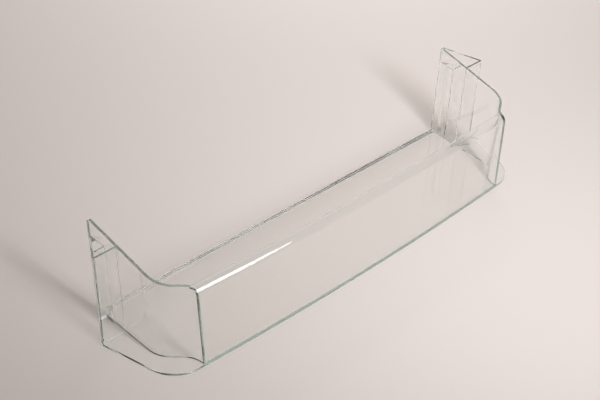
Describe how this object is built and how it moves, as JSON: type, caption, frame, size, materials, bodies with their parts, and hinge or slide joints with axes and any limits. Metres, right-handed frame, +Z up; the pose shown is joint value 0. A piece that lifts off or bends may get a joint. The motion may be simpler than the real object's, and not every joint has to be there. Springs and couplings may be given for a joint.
{
  "type": "refrigerator door shelf",
  "caption": "Clear moulded refrigerator door shelf: a shallow tray with a bowed front wall, a rolled front rim, S-curved end walls and hook pockets whose grooves drop over lugs of the door",
  "frame": {"origin": "middle of the bounding box in plan, on the underside", "axes": "+X along the shelf to the right seen from the front, -Y to the front, +Z up"},
  "size_m": [0.44, 0.107, 0.095],
  "materials": {
    "clear_plastic": "clear, polished"
  },
  "bodies": {
    "root": {"door_shelf": "clear_plastic"}
  },
  "joints": []
}
